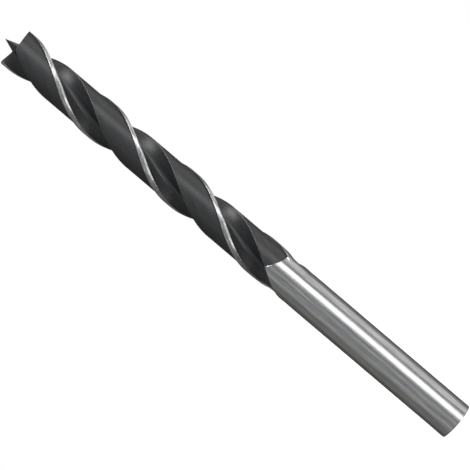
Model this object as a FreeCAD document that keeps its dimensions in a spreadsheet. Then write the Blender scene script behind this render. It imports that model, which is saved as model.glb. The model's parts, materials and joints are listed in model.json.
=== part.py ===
import FreeCAD, Part
import math
import os
import Sketcher

# Brad point drill bit for wood, ground from one bar of steel. It stands on the flat end of
# its round shank with the centre point up, and its axis is Z. Two right-hand flutes leave
# two lands, each with a raised margin behind its cutting edge and a relieved body behind
# the margin. The flutes run out into the shank, and the end is ground to two spurs, two
# lips and a four-sided centre point.

os.makedirs("parts", exist_ok=True)
doc = FreeCAD.newDocument("BradPointBit")

# Driving sizes, in millimetres and degrees.
SIZES = (
    ("overall_length", 110.0, "shank end to centre point"),
    ("cutting_diameter", 8.0, "across the two margins"),
    ("body_diameter", 7.34, "relieved body between the margins, at the cutting end"),
    ("back_taper", 0.0005, "loss of diameter towards the shank, for each millimetre of length"),
    ("shank_diameter", 7.48, "plain round shank"),
    ("shank_end_chamfer", 0.15, "broken edge of the shank end"),
    ("flute_lead", 39.63, "rise of a flute in one turn"),
    ("web_thickness", 1.9, "steel left between the flutes"),
    ("flute_bottom_radius", 1.35, "round of the flute bottom"),
    ("flute_bottom_turn", 47.0, "deepest line of the flute, ahead of the cutting edge"),
    ("flute_turn", 74.5, "heel of the next land, ahead of the cutting edge"),
    ("margin_turn", 17.2, "back of the margin, behind the cutting edge"),
    ("bevel_turn", 5.0, "back of the bevel at the cutting edge"),
    ("bevel_depth", 0.3, "depth of that bevel"),
    ("runout_height", 47.3, "where the flutes start to run out"),
    ("runout_length", 8.0, "height over which they run out"),
    ("shoulder_drop", 0.83, "crest between the ends of the body reliefs, below the run-out's start"),
    ("shoulder_slope", 36.0, "slope of those ends"),
    ("shoulder_turn", 138.0, "direction in which the first one falls, ahead of the cutting edge there"),
    ("margin_drop", 3.9, "where the margins start to rise from the shank, below the same height"),
    ("margin_taper", 1.5, "height over which they rise"),
    ("spur_turn", 20.7, "direction of the first spur"),
    ("point_length", 2.3, "centre point above the spurs"),
    ("point_half_angle", 20.4, "half angle along the ridges of the point"),
    ("point_flat", 0.06, "blunt end of the point, across its ridges"),
    ("lip_rise", 6.8, "cutting lip, rising outwards"),
    ("lip_relief", 5.7, "ground face, falling behind the lip"),
)
sheet = doc.addObject("Spreadsheet::Sheet", "Sizes")
for row, (alias, value, meaning) in enumerate(SIZES, start=1):
    sheet.set(f"A{row}", meaning)
    sheet.set(f"B{row}", str(value))
    sheet.setAlias(f"B{row}", alias)
doc.recompute()

cutting_radius = sheet.cutting_diameter / 2
body_radius = sheet.body_diameter / 2
shank_radius = sheet.shank_diameter / 2
web_radius = sheet.web_thickness / 2
spur_height = sheet.overall_length - sheet.point_length
joint = sheet.runout_height
flute_foot = joint - sheet.runout_length
shoulder_height = joint - sheet.shoulder_drop
margin_foot = joint - sheet.margin_drop
# Wheels start and end this far outside the steel.
clear = sheet.cutting_diameter / 4
# A helix is drawn in spans of this many degrees, through this many points each.
span_turn = 90.0
span_steps = 6
lands = (("", 0), ("_opposite", 180))


def combine(kind, name, base, tool):
    """A Part::Cut or Part::Fuse of two objects."""
    result = doc.addObject(kind, name)
    result.Base = base
    result.Tool = tool
    return result


def gather(kind, name, prop, pieces):
    """A compound or a fusion of several objects."""
    result = doc.addObject(kind, name)
    setattr(result, prop, pieces)
    return result


def polar(radius, turn, height):
    angle = math.radians(turn)
    return FreeCAD.Vector(radius * math.cos(angle), radius * math.sin(angle), height)


def edge_turn(height):
    """Direction of the first cutting edge at a height."""
    return sheet.spur_turn + 360 * (height - spur_height) / sheet.flute_lead


def arc(turns, radius, height):
    """A level arc round the axis, from the first direction to the second."""
    start, end = turns
    places = (polar(radius, turn, height) for turn in (start, (start + end) / 2, end))
    return Part.Arc(*places).toShape()


def helical_sweep(name, outline, start, end, turn, lift):
    """A level outline carried along a helix, always facing the axis.

    The helix lies on the cutting diameter, a turn ahead of the first cutting edge, and the
    lift says how far outwards of that it stands at a height.
    """
    spans = math.ceil(360 * abs(end - start) / sheet.flute_lead / span_turn)
    count = spans * span_steps
    points = []
    for i in range(count + 1):
        height = start + (end - start) * i / count
        points.append(polar(cutting_radius + lift(height), edge_turn(height) + turn, height))
    curve = Part.BSplineCurve()
    curve.interpolate(points)
    knots = curve.getKnots()[::span_steps]
    path = Part.Wire([curve.toShape(first, last) for first, last in zip(knots, knots[1:])])
    axis_foot = FreeCAD.Vector(0, 0, -sheet.overall_length)
    axis = Part.makeLine(axis_foot, FreeCAD.Vector(0, 0, 2 * sheet.overall_length))
    pipe = Part.BRepOffsetAPI.MakePipeShell(path)
    pipe.setAuxiliarySpine(Part.Wire([axis]), False, 0)
    pipe.add(Part.Wire(outline), False, False)
    pipe.build()
    pipe.makeSolid()
    item = doc.addObject("Part::Feature", name)
    item.Shape = pipe.shape()
    return item


def no_lift(height):
    return 0.0


# Shank, turned with a broken edge at its free end. Above the foot of the flutes it opens
# slightly with the back taper of the body.
shank = doc.addObject("PartDesign::Body", "turned_shank")
sketch = shank.newObject("Sketcher::SketchObject", "shank_outline")
upright = [item for item in shank.Origin.OriginFeatures if item.Role == "XZ_Plane"][0]
sketch.AttachmentSupport = [(upright, "")]
sketch.MapMode = "FlatFace"
corners = (
    FreeCAD.Vector(0, 0, 0),
    FreeCAD.Vector(shank_radius - sheet.shank_end_chamfer, 0, 0),
    FreeCAD.Vector(shank_radius, sheet.shank_end_chamfer, 0),
    FreeCAD.Vector(shank_radius, flute_foot, 0),
    FreeCAD.Vector(shank_radius + (shoulder_height - flute_foot) * sheet.back_taper / 2, shoulder_height, 0),
    FreeCAD.Vector(0, shoulder_height, 0),
)
for start, end in zip(corners, corners[1:] + corners[:1]):
    sketch.addGeometry(Part.LineSegment(start, end), False)
end_line, chamfer_line, side_line, taper_line, top_line, axis_line = range(6)
for line, following in zip(range(6), (1, 2, 3, 4, 5, 0)):
    sketch.addConstraint(Sketcher.Constraint("Coincident", line, 2, following, 1))
sketch.addConstraint(Sketcher.Constraint("Coincident", end_line, 1, -1, 1))
sketch.addConstraint(Sketcher.Constraint("Horizontal", end_line))
sketch.addConstraint(Sketcher.Constraint("Vertical", side_line))
sketch.addConstraint(Sketcher.Constraint("Horizontal", top_line))
sketch.addConstraint(Sketcher.Constraint("Vertical", axis_line))
flute_foot_size = "Sizes.runout_height - Sizes.runout_length"
shoulder_size = "Sizes.runout_height - Sizes.shoulder_drop"
shoulder_radius_size = (
    "Sizes.shank_diameter / 2 + (Sizes.runout_length - Sizes.shoulder_drop) * Sizes.back_taper / 2"
)
for kind, line, end, size, expression in (
    ("DistanceX", end_line, 2, corners[1].x, "Sizes.shank_diameter / 2 - Sizes.shank_end_chamfer"),
    ("DistanceX", side_line, 1, corners[2].x, "Sizes.shank_diameter / 2"),
    ("DistanceY", side_line, 1, corners[2].y, "Sizes.shank_end_chamfer"),
    ("DistanceY", side_line, 2, corners[3].y, flute_foot_size),
    ("DistanceX", taper_line, 2, corners[4].x, shoulder_radius_size),
    ("DistanceY", taper_line, 2, corners[4].y, shoulder_size),
):
    place = sketch.addConstraint(Sketcher.Constraint(kind, -1, 1, line, end, size))
    sketch.setExpression(f"Constraints[{place}]", expression)
doc.recompute()
turning = shank.newObject("PartDesign::Revolution", "shank_turning")
turning.Profile = sketch
turning.ReferenceAxis = (sketch, ["V_Axis"])
turning.Angle = 360.0

# Each body relief ends above the shank in a slope that falls away from a common crest.
sloped_shank = shank
for side, half_turn in lands:
    wheel = doc.addObject("Part::Cylinder", "relief_end" + side)
    wheel.setExpression("Radius", "2 * Sizes.cutting_diameter")
    wheel.setExpression("Height", "2 * Sizes.cutting_diameter")
    turn = edge_turn(joint) + sheet.shoulder_turn + half_turn
    fall = FreeCAD.Rotation(turn, sheet.shoulder_slope, 0)
    wheel.Placement = FreeCAD.Placement(FreeCAD.Vector(0, 0, shoulder_height), fall)
    wheel.setExpression("Placement.Base.z", shoulder_size)
    sloped_shank = combine("Part::Cut", "sloped_shank" + side, sloped_shank, wheel)

# The relieved body is a slightly tapered bar, in two lengths that meet where the flutes
# start to run out: the neck below, inside the end of the shank, and the bar above.
body_pieces = []
for name, foot_size, top_size in (
    ("neck", flute_foot_size, "Sizes.runout_height"),
    ("bar", "Sizes.runout_height", "Sizes.overall_length"),
):
    cone = doc.addObject("Part::Cone", name)
    for prop, size in (("Radius1", foot_size), ("Radius2", top_size)):
        lost = f"(Sizes.overall_length - ({size})) * Sizes.back_taper"
        cone.setExpression(prop, f"(Sizes.body_diameter - {lost}) / 2")
    cone.setExpression("Height", f"{top_size} - ({foot_size})")
    cone.setExpression("Placement.Base.z", foot_size)
    body_pieces.append(cone)
neck, bar = body_pieces
relieved_shank = combine("Part::Fuse", "relieved_shank", sloped_shank, neck)


def margin_radius(height):
    return cutting_radius - (sheet.overall_length - height) * sheet.back_taper / 2


def margin_lift(height):
    return margin_radius(height) - margin_radius(joint)


def margin_sink(height):
    """As the lift, but a margin sinks into the shank at its foot."""
    travel = max(0, margin_foot + sheet.margin_taper - height) / sheet.margin_taper
    return margin_lift(height) + (body_radius - cutting_radius) * travel ** 2


# Margins, up the bar and down to their feet in the shank. They run ahead of the bevel, which
# is cut into them with the flutes.
margin_root = (body_radius + web_radius) / 2
margins = []
margin_feet = []
for side, half_turn in lands:
    edge = edge_turn(joint) + half_turn
    back, front = edge - sheet.margin_turn, edge + sheet.bevel_turn
    outline = [
        Part.makeLine(polar(margin_root, back, joint), polar(margin_radius(joint), back, joint)),
        arc((back, front), margin_radius(joint), joint),
        Part.makeLine(polar(margin_radius(joint), front, joint), polar(margin_root, front, joint)),
        arc((front, back), margin_root, joint),
    ]
    foot = margin_foot - sheet.margin_taper
    margins.append(
        helical_sweep("margin" + side, outline, joint, sheet.overall_length, half_turn, margin_lift)
    )
    margin_feet.append(
        helical_sweep("margin_foot" + side, outline, joint, foot, half_turn, margin_sink)
    )
unfluted_body = gather("Part::MultiFuse", "unfluted_body", "Shapes", [bar] + margins)
unfluted_shank = gather("Part::MultiFuse", "unfluted_shank", "Shapes", [relieved_shank] + margin_feet)

# Flute section: a narrow bevel at the cutting edge, a straight face, a round bottom and a
# straight wall out to the heel of the next land.


def tangent_point(outside, centre, radius, side):
    """Where a line from a point outside a circle touches it."""
    across = outside - centre
    turn = math.atan2(across.y, across.x) + side * math.acos(radius / across.Length)
    return centre + FreeCAD.Vector(radius * math.cos(turn), radius * math.sin(turn), 0)


def flute_places(height, half_turn):
    """Corners of a flute's section: bevel back and edge, face foot, bottom, wall foot, heel."""
    edge = edge_turn(height) + half_turn
    deepest = edge + sheet.flute_bottom_turn
    centre = polar(web_radius + sheet.flute_bottom_radius, deepest, height)
    bevel_back = polar(cutting_radius, edge - sheet.bevel_turn, height)
    bevel_edge = polar(cutting_radius - sheet.bevel_depth, edge, height)
    face_foot = tangent_point(bevel_edge, centre, sheet.flute_bottom_radius, -1)
    bottom = polar(web_radius, deepest, height)
    heel = polar(body_radius, edge + sheet.flute_turn, height)
    wall_foot = tangent_point(heel, centre, sheet.flute_bottom_radius, 1)
    return bevel_back, bevel_edge, face_foot, bottom, wall_foot, heel


def flute_edges(places):
    bevel_back, bevel_edge, face_foot, bottom, wall_foot, heel = places
    return [
        Part.makeLine(bevel_back, bevel_edge),
        Part.makeLine(bevel_edge, face_foot),
        Part.Arc(face_foot, bottom, wall_foot).toShape(),
        Part.makeLine(wall_foot, heel),
    ]


# The bevel and the wall of each flute are carried on past the steel that they cut.
flute_places_at_joint = []
for side, half_turn in lands:
    bevel_back, bevel_edge, face_foot, bottom, wall_foot, heel = flute_places(joint, half_turn)
    bevel_end = bevel_back + (bevel_back - bevel_edge).normalize() * clear / 2
    heel_end = heel + (heel - wall_foot).normalize() * clear / 2
    flute_places_at_joint.append((bevel_end, bevel_edge, face_foot, bottom, wall_foot, heel_end))

# Fluted body: what the bar and its margins share with a twisted prism that both flutes
# are left out of.
land_middle = (sheet.flute_turn + 180 - sheet.margin_turn) / 2
outline = []
for (side, half_turn), places, next_places in zip(
    lands, flute_places_at_joint, reversed(flute_places_at_joint)
):
    over_land = polar(2 * cutting_radius, edge_turn(joint) + half_turn + land_middle, joint)
    outline.extend(flute_edges(places))
    outline.append(Part.makeLine(places[-1], over_land))
    outline.append(Part.makeLine(over_land, next_places[0]))
prism = helical_sweep("fluted_prism", outline, joint, sheet.overall_length, 0, no_lift)
fluted_body = combine("Part::Common", "fluted_body", unfluted_body, prism)


# Run-out: the same flute section, cut by a form wheel that lifts out of the shank.
def wheel_lift(height):
    travel = max(0, joint - height) / sheet.runout_length
    return (shank_radius - web_radius) * travel ** 2


flute_wheels = []
for (side, half_turn), places in zip(lands, flute_places_at_joint):
    outside = polar(cutting_radius + clear, edge_turn(joint) + half_turn, joint)
    outline = flute_edges(places)
    outline.append(Part.makeLine(places[-1], outside))
    outline.append(Part.makeLine(outside, places[0]))
    turn = sheet.flute_bottom_turn + half_turn
    foot = flute_foot - clear / 2
    flute_wheels.append(helical_sweep("flute_wheel" + side, outline, joint, foot, turn, wheel_lift))
flute_wheels = gather("Part::Compound", "flute_wheels", "Links", flute_wheels)
runout = combine("Part::Cut", "runout", unfluted_shank, flute_wheels)

# Ground end: the face of each land slopes inwards along its lip and falls away behind it.
# Each wheel covers a little more than half a turn, and starts and ends in the flutes.
inward = math.tan(math.radians(sheet.lip_rise))
behind = math.tan(math.radians(sheet.lip_relief))
end_centre = spur_height - cutting_radius * inward
wheel_cover = 190.0
ground_body = fluted_body
for side, half_turn in lands:
    spur = sheet.spur_turn + half_turn
    square = FreeCAD.Vector(0, 0, 1) - polar(inward, spur, 0) - polar(behind, spur + 90, 0)
    start = spur + sheet.flute_turn / 2 - (wheel_cover + 180) / 2
    wheel = doc.addObject("Part::Cylinder", "end_wheel" + side)
    wheel.setExpression("Radius", "2 * Sizes.cutting_diameter")
    wheel.setExpression("Height", "Sizes.cutting_diameter")
    wheel.Angle = wheel_cover
    tilt = FreeCAD.Rotation(FreeCAD.Vector(0, 0, 1), square)
    turned = tilt.multiply(FreeCAD.Rotation(FreeCAD.Vector(0, 0, 1), start))
    wheel.Placement = FreeCAD.Placement(FreeCAD.Vector(0, 0, end_centre), turned)
    ground_body = combine("Part::Cut", "ground_body" + side, ground_body, wheel)

# Centre point: four facets whose ridges lie along the lips and square to them.
point_root = end_centre - web_radius / 2
slope = math.tan(math.radians(sheet.point_half_angle))
rings = []
for name, height, radius in (
    ("point_root_ring", point_root, (sheet.overall_length - point_root) * slope + sheet.point_flat / 2),
    ("point_end_ring", sheet.overall_length, sheet.point_flat / 2),
):
    ring = doc.addObject("Part::RegularPolygon", name)
    ring.Polygon = 4
    ring.Circumradius = radius
    ring.Placement = FreeCAD.Placement(
        FreeCAD.Vector(0, 0, height), FreeCAD.Rotation(sheet.spur_turn, 0, 0)
    )
    rings.append(ring)
point = gather("Part::Loft", "centre_point", "Sections", rings)
point.Solid = True
point.Ruled = True
pointed_body = combine("Part::Fuse", "pointed_body", ground_body, point)

# The whole bit is one solid.
drill_bit = combine("Part::Fuse", "drill_bit", runout, pointed_body)
doc.recompute()

for item in doc.Objects:
    if "Invalid" in item.State or "Error" in item.State:
        raise RuntimeError(f"{item.Name} did not build")
    if item.TypeId == "Spreadsheet::Sheet" or item.TypeId.startswith("App::"):
        continue
    if item.Shape.isNull() or not item.Shape.isValid():
        raise RuntimeError(f"{item.Name} has no sound shape")
if len(drill_bit.Shape.Solids) != 1:
    raise RuntimeError("the bit is not one solid")
for node in (drill_bit,):
    node.Shape.exportStep(f"parts/{node.Label}.step")
    print(node.Label, round(node.Shape.Volume, 2), len(node.Shape.Faces))
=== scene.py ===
import bmesh
import bpy
import json
import math
from mathutils import Matrix, Vector


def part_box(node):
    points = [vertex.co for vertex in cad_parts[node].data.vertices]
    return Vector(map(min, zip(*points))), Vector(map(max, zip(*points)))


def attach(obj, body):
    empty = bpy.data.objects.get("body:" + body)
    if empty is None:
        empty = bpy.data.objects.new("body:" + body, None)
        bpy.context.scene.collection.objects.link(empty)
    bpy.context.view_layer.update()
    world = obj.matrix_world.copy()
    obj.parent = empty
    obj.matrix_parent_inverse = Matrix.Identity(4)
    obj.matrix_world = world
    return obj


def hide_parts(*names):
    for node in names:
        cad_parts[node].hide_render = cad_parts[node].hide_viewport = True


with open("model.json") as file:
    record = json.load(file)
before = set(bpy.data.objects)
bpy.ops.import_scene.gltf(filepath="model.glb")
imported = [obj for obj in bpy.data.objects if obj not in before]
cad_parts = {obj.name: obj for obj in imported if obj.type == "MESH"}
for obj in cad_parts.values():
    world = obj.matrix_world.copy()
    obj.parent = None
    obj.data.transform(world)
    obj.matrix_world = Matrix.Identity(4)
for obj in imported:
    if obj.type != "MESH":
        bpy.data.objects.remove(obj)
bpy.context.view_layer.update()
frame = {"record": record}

# Section of the bit: one bar of tool steel with two flutes ground along it by a form wheel.
# Half of the section is drawn, seen along the axis in mm with the cutting edge at turn 0:
# out of one flute, over the land and up onto the margin, into the next flute.
mm = 0.001
cutting_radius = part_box("drill_bit")[1].x / mm
land_radius = 3.67
web_radius = 1.15
flute_radius = 0.85
flute_turn = 30.0
heel_turn = 74.5
margin_turn = 17.2
bevel_turn = 5.0
bevel_depth = 0.3


def polar(radius, turn):
    """Place at a radius from the axis, turned round it by degrees."""
    angle = math.radians(turn)
    return Vector((radius * math.cos(angle), radius * math.sin(angle)))


def turn_of(place):
    """Turn of a place round the axis, in degrees."""
    return math.degrees(math.atan2(place.y, place.x))


def tangent_point(outside, centre, side):
    """Where a line from a point touches the round bottom of the flute."""
    across = outside - centre
    turn = turn_of(across) + side * math.degrees(math.acos(flute_radius / across.length))
    return centre + polar(flute_radius, turn)


round_centre = polar(web_radius + flute_radius, flute_turn)
bevel_back = polar(cutting_radius, -bevel_turn)
bevel_edge = polar(cutting_radius - bevel_depth, 0)
heel = polar(land_radius, heel_turn)
face_foot = tangent_point(bevel_edge, round_centre, -1)
wall_foot = tangent_point(heel, round_centre, 1)
round_start = turn_of(face_foot - round_centre)
round_sweep = (turn_of(wall_foot - round_centre) - round_start) % 360 - 360
bevel_end = (bevel_edge - bevel_back).length
face_end = bevel_end + (face_foot - bevel_edge).length
round_end = face_end - math.radians(round_sweep) * flute_radius
flute_end = round_end + (heel - wall_foot).length


def flute_place(along):
    """Place on the flute at a distance from the back of its bevel."""
    if along < bevel_end:
        return bevel_back.lerp(bevel_edge, along / bevel_end)
    if along < face_end:
        return bevel_edge.lerp(face_foot, (along - bevel_end) / (face_end - bevel_end))
    if along < round_end:
        part = (along - face_end) / (round_end - face_end)
        return round_centre + polar(flute_radius, round_start + part * round_sweep)
    return wall_foot.lerp(heel, (along - round_end) / (flute_end - round_end))


# Columns of the skin: the lines that run up the steel, closer together at its edges and in
# the round bottom of the flutes. Each has the turn of its half, the surface that it lies on,
# its share of the way across that surface, and a small offset from there in mm.
corner = 0.05
flat_steps, round_steps, land_steps, margin_steps = 7, 9, 16, 5


def stops(start, end, count):
    """Even stops after a start, as far as the end."""
    return [start + (end - start) * step / count for step in range(1, count + 1)]


round_middle = (face_end + round_end) / 2
flute_out = [
    round_middle,
    *stops(round_middle, round_end, round_steps),
    *stops(round_end, flute_end - corner, flat_steps),
    flute_end,
]
flute_in = [
    0, corner, bevel_end / 2, bevel_end - corner,
    bevel_end, bevel_end + corner,
    *stops(bevel_end + corner, face_end, flat_steps),
    *stops(face_end, round_middle, round_steps),
]
columns = [
    *((-180, "flute", along / flute_end, 0) for along in flute_out),
    (-180, "land", 0, corner),
    *((-180, "land", share, 0) for share in stops(0, 1, land_steps)[:-1]),
    (-180, "land", 1, -corner),
    (0, "wall", 0, 0),
    (0, "wall", 1, -corner),
    (0, "margin", 0, 0),
    (0, "margin", 0, corner),
    *((0, "margin", share, 0) for share in stops(0, 1, margin_steps)[:-1]),
    (0, "margin", 1, -corner),
    *((0, "flute", along / flute_end, 0) for along in flute_in),
]
bevel_first = len(columns) - len(flute_in)
bevel_columns = range(bevel_first, bevel_first + flute_in.index(bevel_end))
corners = [
    index for index, (_, surface, share, offset) in enumerate(columns)
    if (surface == "margin" and share == 0 and offset == 0)
    or (surface == "flute" and share in (0, 1, bevel_end / flute_end))
]

# Run-out of the flutes: the wheel lifts out over the last 8 mm, the margins sink into the
# shank, and the relief between them ends in two slopes ground across the bar.
overall_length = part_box("drill_bit")[1].z / mm
shank_mount = next(mount for mount in frame["record"]["mounts"] if mount["name"] == "shank")
shank_radius = shank_mount["dims"]["r_mm"]
flute_lead = 39.63
spur_turn = 20.7
point_height = 2.3
spur_height = overall_length - point_height
runout_top = 47.3
runout_length = 8.0
runout_foot = runout_top - runout_length
foot_turn = 47.0
slope_top = runout_top - 0.83
slope_fall = math.tan(math.radians(36))
slope_ahead = 138
margin_full = runout_top - 2.4
margin_rise = 2.6


def edge_turn(height):
    """Direction of the cutting edge at a height."""
    return spur_turn + 360 * (height - spur_height) / flute_lead


slope_turn = edge_turn(runout_top) + slope_ahead


def slope_height(turn, radius):
    """Height at which the relief's sloping end reaches a radius of the bar."""
    return slope_top - slope_fall * radius * abs(math.cos(math.radians(turn - slope_turn)))


def bar_radius(turn, height):
    """Radius of the relieved bar, up the slope from the shank to the land."""
    if height >= slope_height(turn, land_radius):
        return land_radius
    if height <= slope_height(turn, shank_radius):
        return shank_radius
    return (slope_top - height) / (slope_top - slope_height(turn, 1))


def margin_radius(turn, height):
    """Radius of the margin, which sinks into the shank at its foot."""
    sunk = max(0.0, (margin_full - height) / margin_rise)
    faded = cutting_radius - (cutting_radius - land_radius) * sunk ** 2
    return max(faded, bar_radius(turn, height))


def wheel_lift(height):
    """How far the form wheel has moved out, until it just touches the shank."""
    travel = min(1.0, max(0.0, (runout_top - height) / runout_length))
    return (polar(shank_radius + flute_radius, foot_turn) - round_centre) * travel ** 2


def flute_ends(height):
    """Where the lifted flute comes out of the steel, as distances along it."""
    if height >= runout_top:
        return 0.0, flute_end
    lift = wheel_lift(height)
    edge = edge_turn(height)
    bottom = (180 + turn_of(round_centre + lift) - round_start) % 360 - 360
    deepest = face_end - math.radians(bottom) * flute_radius
    beyond, halvings = 1.2, 24
    ends = []
    for outside, steel_radius in ((-beyond, margin_radius), (flute_end + beyond, bar_radius)):
        inside = deepest
        for _ in range(halvings):
            middle = (inside + outside) / 2
            place = flute_place(middle) + lift
            if place.length < steel_radius(edge + turn_of(place), height):
                inside = middle
            else:
                outside = middle
        ends.append(inside)
    return ends


def column_place(column, height):
    """Where a column of the skin passes through a height."""
    half_turn, surface, share, offset = column
    edge = edge_turn(height) + half_turn
    start, end = flute_ends(height)
    lift = wheel_lift(height)
    if surface == "flute":
        place = flute_place(start + (end - start) * share) + lift
        return polar(place.length, edge + turn_of(place))
    if surface == "wall":
        back = edge - margin_turn
        low, high = bar_radius(back, height), margin_radius(back, height)
        return polar(max(low, low + (high - low + offset) * share), back)
    if surface == "margin":
        back, front = edge - margin_turn, edge + turn_of(flute_place(start) + lift)
        turn = back + (front - back) * share + math.degrees(offset / cutting_radius)
        return polar(margin_radius(turn, height), turn)
    behind, ahead = edge + turn_of(flute_place(end) + lift), edge + 180 - margin_turn
    turn = behind + (ahead - behind) * share + math.degrees(offset / land_radius)
    return polar(bar_radius(turn, height), turn)


# Rows of the skin: level round the bar, but bent near the slopes so that one row follows
# the top of the relief's end and one its foot. The sharp edges are broken by a small round.
slope_low, slope_high = 45.1, 45.16
level_foot, level_top = runout_foot + 0.2, 47.9
bending_passes = 3
edge_break = 0.55


def bent_height(turn, level):
    """Height of a row at a turn, between the run-out's foot and a level joint."""
    if not level_foot < level < level_top:
        return level
    low, high = slope_height(turn, shank_radius), slope_height(turn, land_radius)
    if level <= slope_low:
        return level_foot + (level - level_foot) * (low - level_foot) / (slope_low - level_foot)
    return level_top - (level_top - level) * (level_top - high) / (level_top - slope_high)


def row_places(level):
    """Places of all the columns in one row of the skin."""
    row = []
    for column in columns:
        height = level
        for _ in range(bending_passes):
            height = bent_height(turn_of(column_place(column, height)), level)
        row.append(column_place(column, height).to_3d() + Vector((0, 0, height)))
    broken = [
        row[index].lerp((row[index - 1] + row[index + 1]) / 2, edge_break) for index in corners
    ]
    for index, place in zip(corners, broken):
        row[index] = place
    return row


# Fluted body: the half section swept up the helix to above the spurs, then cut by the face
# that is ground behind this land's lip. The flutes and lands keep the black oxide of the
# hardening, and the margins and bevels are ground bright after it.
skin = bmesh.new()
column_of = skin.verts.layers.int.new("column")
wear_and_highlight = skin.verts.layers.float.new("wear_and_highlight")
section = []
# The corner columns get a mask that lightens them: wear rubbed bright and a painted edge
# highlight.
for index, place in enumerate(row_places(level_top)):
    vert = skin.verts.new(place * mm)
    vert[column_of] = index
    vert[wear_and_highlight] = float(index in corners)
    section.append(vert)
section_edges = [skin.edges.new(pair) for pair in zip(section, section[1:])]
above_spurs = 0.3
body_length = spur_height + above_spurs - level_top
body_rows = 210
bmesh.ops.spin(
    skin, geom=section + section_edges, cent=(0, 0, 0), axis=(0, 0, 1),
    angle=math.radians(360 * body_length / flute_lead), steps=body_rows,
    dvec=(0, 0, body_length / body_rows * mm), use_merge=False,
)
steel, oxide, edge_steel = 0, 1, 2
finishes = {"flute": oxide, "land": oxide, "wall": oxide, "margin": edge_steel}


def strip_of(face):
    """Column at which a face's strip of the skin begins."""
    return min(vert[column_of] for vert in face.verts)


def finish_of(strip):
    """Finish of a strip, by the surface that it lies on."""
    return edge_steel if strip in bevel_columns else finishes[columns[strip][1]]


for face in skin.faces:
    face.material_index = finish_of(strip_of(face))
lip_rise = math.tan(math.radians(6.8))
lip_relief = math.tan(math.radians(5.7))
end_centre = spur_height - cutting_radius * lip_rise
fall = polar(lip_rise, spur_turn) + polar(lip_relief, spur_turn + 90)
bmesh.ops.bisect_plane(
    skin, geom=skin.verts[:] + skin.edges[:] + skin.faces[:], dist=1e-7,
    plane_co=(0, 0, end_centre * mm), plane_no=(-fall.x, -fall.y, 1), clear_outer=True,
)

# Run-out and shank: the lower edge of the body is drawn down row by row, following the
# lifted wheel and then settling to even steps round the plain shank and its chamfered end.
# The relief's ends and the shank are ground bright.
slope_gap = 0.05
joint_rows, runout_rows, shank_rows = 14, 44, 24
crowding = 1.7
runout_depth = slope_low - slope_gap - runout_foot
levels = [
    *stops(level_top, slope_high + slope_gap, joint_rows),
    slope_high, slope_low, slope_low - slope_gap,
    *(
        runout_foot + runout_depth * (1 - step / runout_rows) ** crowding
        for step in range(1, runout_rows + 1)
    ),
]
shank_chamfer = 0.07
settle_length = 4
shank_levels = [*stops(runout_foot, shank_chamfer, shank_rows), 0.0]
found_turns = [turn_of(place) for place in row_places(runout_foot)]
first_turn = edge_turn(runout_foot) + foot_turn - 180


def shank_row(level):
    """A row of the plain shank, its columns on the way to even steps."""
    settled = min(1.0, (runout_foot - level) / settle_length)
    radius = shank_radius if level else shank_radius - shank_chamfer
    row = []
    for index, found_turn in enumerate(found_turns):
        even_turn = first_turn + 180 * index / (len(columns) - 1)
        off = (found_turn - even_turn + 180) % 360 - 180
        place = polar(radius, even_turn + off * (1 - settled))
        row.append(place.to_3d() + Vector((0, 0, level)))
    return row


def of_kind(items, kind):
    """The verts, edges or faces among what an operator has made."""
    return [item for item in items if isinstance(item, kind)]


def is_open(edge):
    return len(edge.link_faces) == 1


low_edges = [edge for edge in section_edges if edge.is_valid]
for level in levels + shank_levels:
    row = row_places(level) if level >= runout_foot else shank_row(level)
    drawn = bmesh.ops.extrude_edge_only(skin, edges=low_edges)["geom"]
    low_edges = [
        edge for edge in of_kind(drawn, bmesh.types.BMEdge)
        if is_open(edge) and edge.verts[0][column_of] != edge.verts[1][column_of]
    ]
    for vert in of_kind(drawn, bmesh.types.BMVert):
        vert.co = row[vert[column_of]] * mm
    for face in of_kind(drawn, bmesh.types.BMFace):
        strip = strip_of(face)
        on_slope = level < slope_high and columns[strip][1] != "flute"
        face.material_index = steel if level < runout_foot or on_slope else finish_of(strip)

# Both halves: the grain is laid along the columns, the half is turned to the other side and
# the seams are welded. The tip is closed to its centre and the shank end is faced off.
grain = skin.loops.layers.uv.new("grain")
grain_height = 80
across = [0.0]
grain_row = [column_place(column, grain_height) for column in columns]
for near, far in zip(grain_row, grain_row[1:]):
    across.append(across[-1] + (far - near).length)
for face in skin.faces:
    for loop in face.loops:
        loop[grain].uv = (across[loop.vert[column_of]], loop.vert.co.z / mm)
bmesh.ops.spin(
    skin, geom=skin.verts[:] + skin.edges[:] + skin.faces[:], cent=(0, 0, 0),
    axis=(0, 0, 1), angle=math.pi, steps=1, use_duplicate=True,
)
weld, trace = 0.0004 * mm, 0.0002 * mm
bmesh.ops.remove_doubles(skin, verts=skin.verts, dist=weld)
bmesh.ops.dissolve_degenerate(skin, edges=skin.edges, dist=trace)
rim = [edge for edge in skin.edges if is_open(edge) and edge.verts[0].co.z > runout_top * mm]
lips = bmesh.ops.extrude_edge_only(skin, edges=rim)["geom"]
for face in of_kind(lips, bmesh.types.BMFace):
    face.material_index = oxide
bmesh.ops.pointmerge(
    skin, verts=of_kind(lips, bmesh.types.BMVert), merge_co=(0, 0, end_centre * mm),
)
foot = [edge for edge in skin.edges if is_open(edge) and edge.verts[0].co.z < runout_foot * mm]
facing_rings = (0.75, 0.5, 0)
for share in facing_rings:
    ring = bmesh.ops.extrude_edge_only(skin, edges=foot)["geom"]
    for face in of_kind(ring, bmesh.types.BMFace):
        face.material_index = steel
    ring_verts = of_kind(ring, bmesh.types.BMVert)
    foot = [edge for edge in of_kind(ring, bmesh.types.BMEdge) if is_open(edge)]
    if share:
        bmesh.ops.scale(skin, verts=ring_verts, vec=(share, share, 1))
    else:
        bmesh.ops.pointmerge(skin, verts=ring_verts, merge_co=(0, 0, 0))

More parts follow.
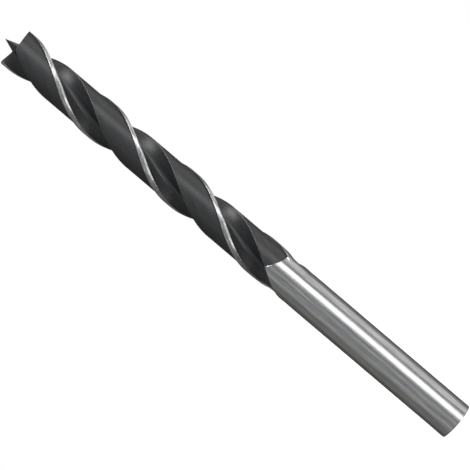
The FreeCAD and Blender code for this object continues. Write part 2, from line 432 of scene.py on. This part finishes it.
# Centre point: a four-sided pyramid of the same steel, ground from the web between the lips.
# Its ridges stand in line with the lips and it ends in a very small flat. The first and the
# last of its corners touch all of its faces but one, and that side is bright from the wheel.
point_root = overall_length - 3.25
point_length = overall_length - point_root
point_flat = 0.03
point_slope = math.tan(math.radians(20.4))
pyramid = bmesh.ops.create_cone(
    skin, cap_ends=True, segments=4, radius1=(point_flat + point_length * point_slope) * mm,
    radius2=point_flat * mm, depth=point_length * mm,
    matrix=Matrix.Translation((0, 0, (overall_length + point_root) / 2 * mm))
    @ Matrix.Rotation(math.radians(spur_turn), 4, "Z"),
)
for face in pyramid["verts"][0].link_faces[:] + pyramid["verts"][-1].link_faces[:]:
    face.material_index = oxide

# The finished bit: one piece of steel, so the skin becomes one object. Its turned surfaces
# are shaded round about the axis, and edges sharper than 50 degrees stay crisp.
sharp_edge = math.radians(50)
turned_limit = 0.2
for face in skin.faces:
    face.smooth = True
bmesh.ops.recalc_face_normals(skin, faces=skin.faces)
skin.verts.layers.int.remove(column_of)
bit_mesh = bpy.data.meshes.new("brad_point_bit")
skin.to_mesh(bit_mesh)
skin.free()
bit_mesh.set_sharp_from_angle(angle=sharp_edge)
round_normals = []
for polygon in bit_mesh.polygons:
    is_turned = polygon.material_index == steel and abs(polygon.normal.z) < turned_limit
    for index in polygon.vertices:
        place = bit_mesh.vertices[index].co
        outward = Vector((place.x, place.y, 0)).normalized()
        round_normals.append(outward if is_turned else Vector())
bit_mesh.normals_split_custom_set(round_normals)
bit = bpy.data.objects.new("brad_point_bit", bit_mesh)
bpy.context.scene.collection.objects.link(bit)
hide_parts("drill_bit")
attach(bit, "root")


# Surfaces: bright ground steel on the shank and the relief's ends, whiter fresh-ground steel
# on the margins and their bevels, and satin black oxide in the flutes, on the lands and on
# the tip. All carry fine grinding lines, and the sharp edges are lightened by wear and by a
# painted highlight.
def new_node(tree, kind, **values):
    """A shader node with some of its sockets or settings filled in."""
    node = tree.nodes.new(kind)
    for name, value in values.items():
        if name in node.inputs:
            node.inputs[name].default_value = value
        else:
            setattr(node, name, value)
    return node


marks = bpy.data.node_groups.new("grinding_marks", "ShaderNodeTree")
marks.interface.new_socket("Vector", in_out="INPUT", socket_type="NodeSocketVector")
marks.interface.new_socket("Lines", in_out="OUTPUT", socket_type="NodeSocketFloat")
marks.interface.new_socket("Patches", in_out="OUTPUT", socket_type="NodeSocketFloat")
marks.interface.new_socket("Wear and highlight", in_out="OUTPUT", socket_type="NodeSocketFloat")
marks_in = marks.nodes.new("NodeGroupInput")
marks_out = marks.nodes.new("NodeGroupOutput")
fine = new_node(marks, "ShaderNodeTexNoise", Scale=1.0, Detail=3.0, Roughness=0.6)
coarse = new_node(marks, "ShaderNodeTexNoise", Scale=0.11, Detail=4.0, Roughness=0.55)
marks.links.new(marks_in.outputs["Vector"], fine.inputs["Vector"])
marks.links.new(marks_in.outputs["Vector"], coarse.inputs["Vector"])
marks.links.new(fine.outputs["Fac"], marks_out.inputs["Lines"])
marks.links.new(coarse.outputs["Fac"], marks_out.inputs["Patches"])
# Edge mask: lightens the corner columns, partly wear and partly a painted highlight, uneven along
# them.
wear_and_highlight_edges = new_node(marks, "ShaderNodeAttribute", attribute_name="wear_and_highlight")
uneven = new_node(marks, "ShaderNodeMath", operation="MULTIPLY", use_clamp=True)
marks.links.new(wear_and_highlight_edges.outputs["Fac"], uneven.inputs[0])
marks.links.new(coarse.outputs["Fac"], uneven.inputs[1])
marks.links.new(uneven.outputs["Value"], marks_out.inputs["Wear and highlight"])
noise_low, noise_high = 0.3, 0.7
wear_and_highlight_colour = (0.75, 0.75, 0.75, 1)
line_depth = 0.00001


def ground_surface(name, metallic, dark, light, roughness, coordinates, stretch, lines):
    """A ground metal whose colour, roughness and relief follow the grinding lines."""
    material = bpy.data.materials.new(name)
    material.use_nodes = True
    tree = material.node_tree
    shader = tree.nodes["Principled BSDF"]
    shader.inputs["Metallic"].default_value = metallic
    shader.inputs["Specular IOR Level"].default_value = 0.6
    place = tree.nodes.new("ShaderNodeTexCoord")
    mapping = new_node(tree, "ShaderNodeMapping", Scale=stretch)
    grinding = new_node(tree, "ShaderNodeGroup", node_tree=marks)
    tone = tree.nodes.new("ShaderNodeValToRGB")
    tone.color_ramp.elements[0].color = (*dark, 1)
    tone.color_ramp.elements[0].position = noise_low
    tone.color_ramp.elements[1].color = (*light, 1)
    tone.color_ramp.elements[1].position = noise_high
    rough = new_node(tree, "ShaderNodeMapRange")
    rough.inputs["From Min"].default_value = noise_low
    rough.inputs["From Max"].default_value = noise_high
    rough.inputs["To Min"].default_value = roughness[0]
    rough.inputs["To Max"].default_value = roughness[1]
    relief = new_node(tree, "ShaderNodeBump", Strength=lines, Distance=line_depth)
    tree.links.new(place.outputs[coordinates], mapping.inputs["Vector"])
    tree.links.new(mapping.outputs["Vector"], grinding.inputs["Vector"])
    tree.links.new(grinding.outputs["Lines"], tone.inputs["Fac"])
    tree.links.new(grinding.outputs["Patches"], rough.inputs["Value"])
    tree.links.new(grinding.outputs["Lines"], relief.inputs["Height"])
    # The base colour turns light along the edges: rubbed wear and a painted highlight.
    wear_and_highlight_mix = new_node(tree, "ShaderNodeMixRGB", Color2=wear_and_highlight_colour)
    tree.links.new(grinding.outputs["Wear and highlight"], wear_and_highlight_mix.inputs["Fac"])
    tree.links.new(tone.outputs["Color"], wear_and_highlight_mix.inputs["Color1"])
    tree.links.new(wear_and_highlight_mix.outputs["Color"], shader.inputs["Base Color"])
    tree.links.new(rough.outputs["Result"], shader.inputs["Roughness"])
    tree.links.new(relief.outputs["Normal"], shader.inputs["Normal"])
    bit_mesh.materials.append(material)


ground_surface(
    "ground_steel", metallic=1.0, dark=(0.47, 0.47, 0.47), light=(0.67, 0.67, 0.67),
    roughness=(0.19, 0.25), coordinates="Object", stretch=(2200, 2200, 200), lines=0.1,
)
ground_surface(
    "black_oxide", metallic=0.0, dark=(0.028, 0.029, 0.031), light=(0.047, 0.048, 0.050),
    roughness=(0.34, 0.44), coordinates="UV", stretch=(2.5, 0.12, 1), lines=0.4,
)
ground_surface(
    "margin_steel", metallic=1.0, dark=(0.32, 0.32, 0.32), light=(0.88, 0.88, 0.88),
    roughness=(0.26, 0.38), coordinates="UV", stretch=(3, 0.8, 1), lines=0.5,
)

# Studio: a white floor that only the camera sees, and a dim surround that looks white to it.
# Tall soft panels round the bit shade the ground steel in bands, and a low and a high one
# light the flutes.
floor_mesh = bpy.data.meshes.new("floor")
floor_shape = bmesh.new()
bmesh.ops.create_grid(floor_shape, x_segments=1, y_segments=1, size=4.0)
floor_shape.to_mesh(floor_mesh)
floor_shape.free()
floor = bpy.data.objects.new("floor", floor_mesh)
bpy.context.scene.collection.objects.link(floor)
floor.visible_glossy = False
floor.visible_diffuse = False
paper = bpy.data.materials.new("white_paper")
paper.use_nodes = True
paper_shader = paper.node_tree.nodes["Principled BSDF"]
paper_shader.inputs["Base Color"].default_value = (0.9, 0.9, 0.9, 1)
paper_shader.inputs["Roughness"].default_value = 0.9
paper_shader.inputs["Emission Color"].default_value = (1, 1, 1, 1)
paper_shader.inputs["Emission Strength"].default_value = 0.95
floor_mesh.materials.append(paper)
panel_distance = 0.45
bit_middle = 0.055
cool, warm = (0.95, 0.98, 1.0), (1.0, 0.99, 0.93)


def panel(name, from_turn, to_turn, radiance, colour=(1, 1, 1), height=0.6, lift=0.0):
    """A soft panel that fills an angle seen from the bit, turned from the camera."""
    middle = math.radians((from_turn + to_turn) / 2)
    width = 2 * panel_distance * math.tan(math.radians((to_turn - from_turn) / 2))
    light = bpy.data.lights.new(name, "AREA")
    light.shape = "RECTANGLE"
    light.color = colour
    light.size = width
    light.size_y = height
    light.energy = radiance * math.pi * width * height
    lamp = bpy.data.objects.new(name, light)
    aim = Vector((0, 0, bit_middle))
    spot = Vector((
        math.sin(middle) * panel_distance, -math.cos(middle) * panel_distance, bit_middle + lift,
    ))
    lamp.location = spot
    lamp.rotation_euler = (aim - spot).to_track_quat("-Z", "Y").to_euler()
    bpy.context.scene.collection.objects.link(lamp)


panel("key_panel", 22.5, 50.5, 1.7, height=1.8)
panel("key_soft_edge", 12, 56, 0.38)
panel("front_panel", -64, 16, 0.23, cool)
panel("front_line", -16, -7, 0.27, cool)
panel("left_line", -53, -44, 0.19, warm)
panel("left_soft_line", -45, -25, 0.05, cool)
panel("left_panel", -112, -56, 0.16, warm)
panel("side_panel", 70, 110, 0.58, height=1.2)
panel("low_side_panel", 50, 125, 0.35, height=0.3, lift=-0.38)
panel("high_front_panel", -5, 35, 8.0, height=0.16, lift=0.42)
panel("side_soft_edge", 57, 124, 0.20)
panel("back_panel", 118, 150, 0.12)
panel("back_left_panel", -150, -108, 0.06, warm)
world = bpy.data.worlds.new("surround")
world.use_nodes = True
bpy.context.scene.world = world
world_tree = world.node_tree
surround = world_tree.nodes["Background"]
surround.inputs["Color"].default_value = (0.05, 0.05, 0.05, 1)
surround.inputs["Strength"].default_value = 1.0
seen = new_node(world_tree, "ShaderNodeBackground", Color=(1, 1, 1, 1), Strength=1.0)
rays = world_tree.nodes.new("ShaderNodeLightPath")
choice = world_tree.nodes.new("ShaderNodeMixShader")
world_tree.links.new(rays.outputs["Is Camera Ray"], choice.inputs["Fac"])
world_tree.links.new(surround.outputs["Background"], choice.inputs[1])
world_tree.links.new(seen.outputs["Background"], choice.inputs[2])
world_tree.links.new(choice.outputs["Shader"], world_tree.nodes["World Output"].inputs["Surface"])

# Camera: square to the axis at the height of the photograph, rolled so the bit lies across
# the picture with its point at the upper left.
camera_data = bpy.data.cameras.new("camera")
camera_data.lens = 134.04
camera_data.sensor_width = 36
camera = bpy.data.objects.new("camera", camera_data)
camera_place = (-0.00016, -0.3255, 0.05382)
picture_right = Vector((0.6472, 0, -0.7623))
picture_up = Vector((0.7623, 0, 0.6472))
towards_camera = (0, -1, 0)
rolled = Matrix((picture_right, picture_up, towards_camera)).transposed().to_4x4()
camera.matrix_world = Matrix.Translation(camera_place) @ rolled
bpy.context.scene.collection.objects.link(camera)
bpy.context.scene.camera = camera
bpy.context.scene.view_settings.view_transform = "Standard"

# Last, the scene is brought up to date.
bpy.context.view_layer.update()
